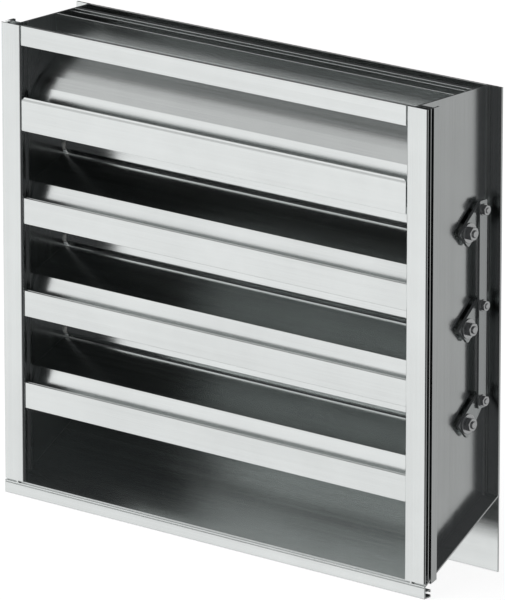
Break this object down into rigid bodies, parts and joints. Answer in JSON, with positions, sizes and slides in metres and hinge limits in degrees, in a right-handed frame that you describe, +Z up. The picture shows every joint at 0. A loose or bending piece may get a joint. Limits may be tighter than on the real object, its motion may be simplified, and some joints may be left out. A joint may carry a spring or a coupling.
{
  "type": "louvre damper",
  "caption": "Aluminium wall louvre with fixed drainable blades and three linked damper blades behind them, sloped sill and side crank linkage.",
  "frame": {"origin": "middle of the bounding box in plan, on the plane of the sill's lower edges", "axes": "+X along the width to the linkage side, +Y from the weather face to the rear flange, +Z up"},
  "size_m": [0.575, 0.122, 0.515],
  "materials": {
    "jamb_aluminium": "mill finish",
    "frame_aluminium": "mill finish",
    "blade_aluminium": "mill finish",
    "crank_aluminium": "satin",
    "plated_steel": "zinc plated",
    "seal_rubber": "matte",
    "bush_plastic": "matte"
  },
  "bodies": {
    "frame": {"left_jamb": "jamb_aluminium", "right_jamb": "jamb_aluminium", "head": "frame_aluminium", "sill": "frame_aluminium", "top_blade": "blade_aluminium", "louvre_blade_upper": "blade_aluminium", "louvre_blade_middle": "blade_aluminium", "louvre_blade_lower": "blade_aluminium", "head_stop": "frame_aluminium", "sill_closure": "frame_aluminium", "bushes_right": "bush_plastic", "bushes_left": "bush_plastic"},
    "damper_upper": {"damper_blade_upper": "blade_aluminium", "blade_seal_upper": "seal_rubber", "drive_axle_upper": "plated_steel", "pivot_axle_upper": "plated_steel", "crank_upper": "crank_aluminium", "crank_washer_upper": "plated_steel", "crank_nut_upper": "plated_steel"},
    "damper_middle": {"damper_blade_middle": "blade_aluminium", "blade_seal_middle": "seal_rubber", "drive_axle_middle": "plated_steel", "pivot_axle_middle": "plated_steel", "crank_middle": "crank_aluminium", "crank_washer_middle": "plated_steel", "crank_nut_middle": "plated_steel"},
    "damper_lower": {"damper_blade_lower": "blade_aluminium", "blade_seal_lower": "seal_rubber", "drive_axle_lower": "plated_steel", "pivot_axle_lower": "plated_steel", "crank_lower": "crank_aluminium", "crank_washer_lower": "plated_steel", "crank_nut_lower": "plated_steel"},
    "link": {"link_bar": "crank_aluminium", "link_bolts": "plated_steel", "link_washers": "plated_steel", "link_nuts": "plated_steel"}
  },
  "joints": [
    {"name": "damper_middle_hinge", "type": "hinge", "parent": "frame", "child": "damper_middle", "pos_m": [0, 0.021, 0.2673], "axis": [-1, 0, 0], "range_deg": [0, 66]},
    {"name": "damper_upper_hinge", "type": "hinge", "parent": "frame", "child": "damper_upper", "pos_m": [0, 0.021, 0.3684], "axis": [-1, 0, 0], "range_deg": [0, 66]},
    {"name": "damper_lower_hinge", "type": "hinge", "parent": "frame", "child": "damper_lower", "pos_m": [0, 0.021, 0.1662], "axis": [-1, 0, 0], "range_deg": [0, 66]},
    {"name": "link_pivot", "type": "hinge", "parent": "damper_middle", "child": "link", "pos_m": [0.278, 0.04104, 0.28827], "axis": [1, 0, 0], "range_deg": [0, 66]}
  ],
  "couplings": [
    {"joint": "damper_upper_hinge", "follows": "damper_middle_hinge", "ratio": 1},
    {"joint": "damper_lower_hinge", "follows": "damper_middle_hinge", "ratio": 1},
    {"joint": "link_pivot", "follows": "damper_middle_hinge", "ratio": 1}
  ]
}
